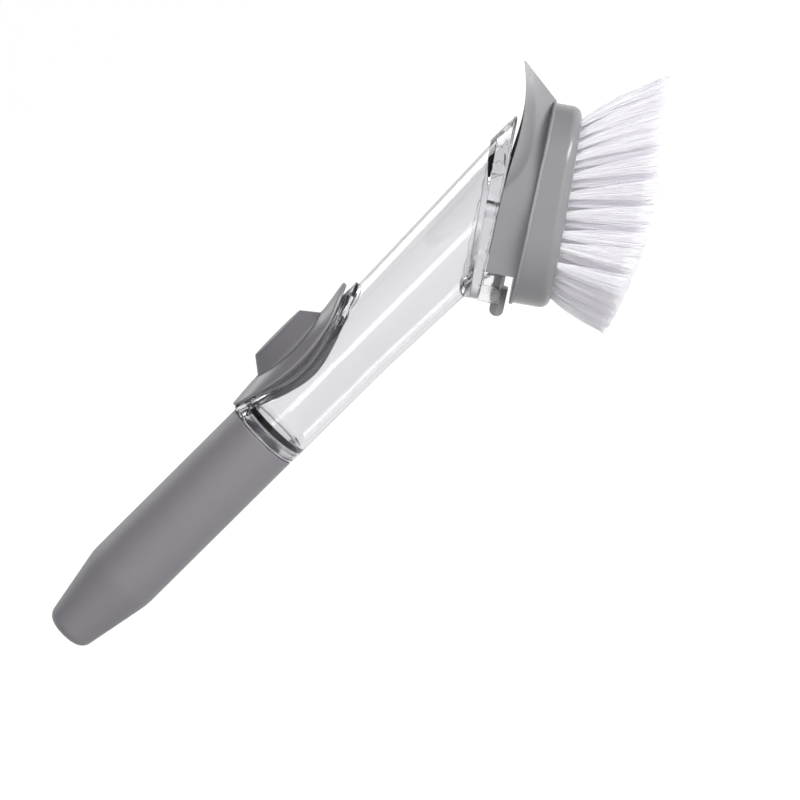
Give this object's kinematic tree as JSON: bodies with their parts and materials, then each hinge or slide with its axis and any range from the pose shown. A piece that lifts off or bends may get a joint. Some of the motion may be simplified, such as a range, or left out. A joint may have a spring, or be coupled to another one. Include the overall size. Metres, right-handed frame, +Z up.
{
  "type": "dish wand",
  "caption": "Soap-dispensing dish wand with a screw-off handle cup, clear tube, press button, slide-off brush head with scraper horn and release latch.",
  "frame": {"origin": "on the floor under the middle of the bounding box, on the mirror plane", "axes": "+X from the handle to the brush head, +Y across the wand, +Z up; the wand rests on its handle's end and its lowest bristle tips"},
  "size_m": [0.3191, 0.0682, 0.1084],
  "materials": {
    "handle_grip": "matte",
    "handle_core": "satin",
    "neck_seal": "matte",
    "soap_tube": "clear",
    "pump_diaphragm": "satin",
    "button_bezel": "satin",
    "button_cap": "satin",
    "head_plate": "clear",
    "outlet_valve": "satin",
    "valve_retainer": "gloss",
    "release_latch": "satin",
    "latch_spring": "brushed",
    "brush_holder": "satin",
    "brush_block": "satin",
    "tuft_anchors": "brushed",
    "bristles": "satin"
  },
  "bodies": {
    "tube": {"soap_tube": "soap_tube", "head_plate": "head_plate", "outlet_valve": "outlet_valve", "valve_retainer": "valve_retainer", "button_bezel": "button_bezel", "pump_diaphragm": "pump_diaphragm", "latch_spring": "latch_spring"},
    "button": {"button_cap": "button_cap"},
    "latch": {"release_latch": "release_latch"},
    "head": {"brush_holder": "brush_holder", "brush_block": "brush_block", "tuft_anchors": "tuft_anchors", "bristles": "bristles"},
    "seal": {"neck_seal": "neck_seal"},
    "handle": {"handle_core": "handle_core", "handle_grip": "handle_grip"}
  },
  "joints": [
    {"name": "button_press", "type": "slide", "parent": "tube", "child": "button", "axis": [0.2392, 0, -0.971], "range_m": [0, 0.0035], "stiffness_N_per_m": 1200, "deforming": ["pump_diaphragm"]},
    {"name": "latch_release", "type": "hinge", "parent": "tube", "child": "latch", "pos_m": [0.05672, 0, 0.03634], "axis": [0, -1, 0], "range_deg": [0, 6], "stiffness_Nm_per_rad": 0.3, "deforming": ["latch_spring"]},
    {"name": "head_slide", "type": "slide", "parent": "tube", "child": "head", "axis": [0.6917, 0, 0.7222], "range_m": [0, 0.046]},
    {"name": "handle_travel", "type": "slide", "parent": "tube", "child": "seal", "axis": [-0.971, 0, -0.2392], "range_m": [0, 0.0135]},
    {"name": "handle_turn", "type": "hinge", "parent": "seal", "child": "handle", "pos_m": [-0.06527, 0, 0.0308], "axis": [-0.971, 0, -0.2392], "range_deg": [0, 1620]}
  ],
  "couplings": [
    {"joint": "handle_travel", "follows": "handle_turn", "m_per_rad": 0.00047746}
  ]
}
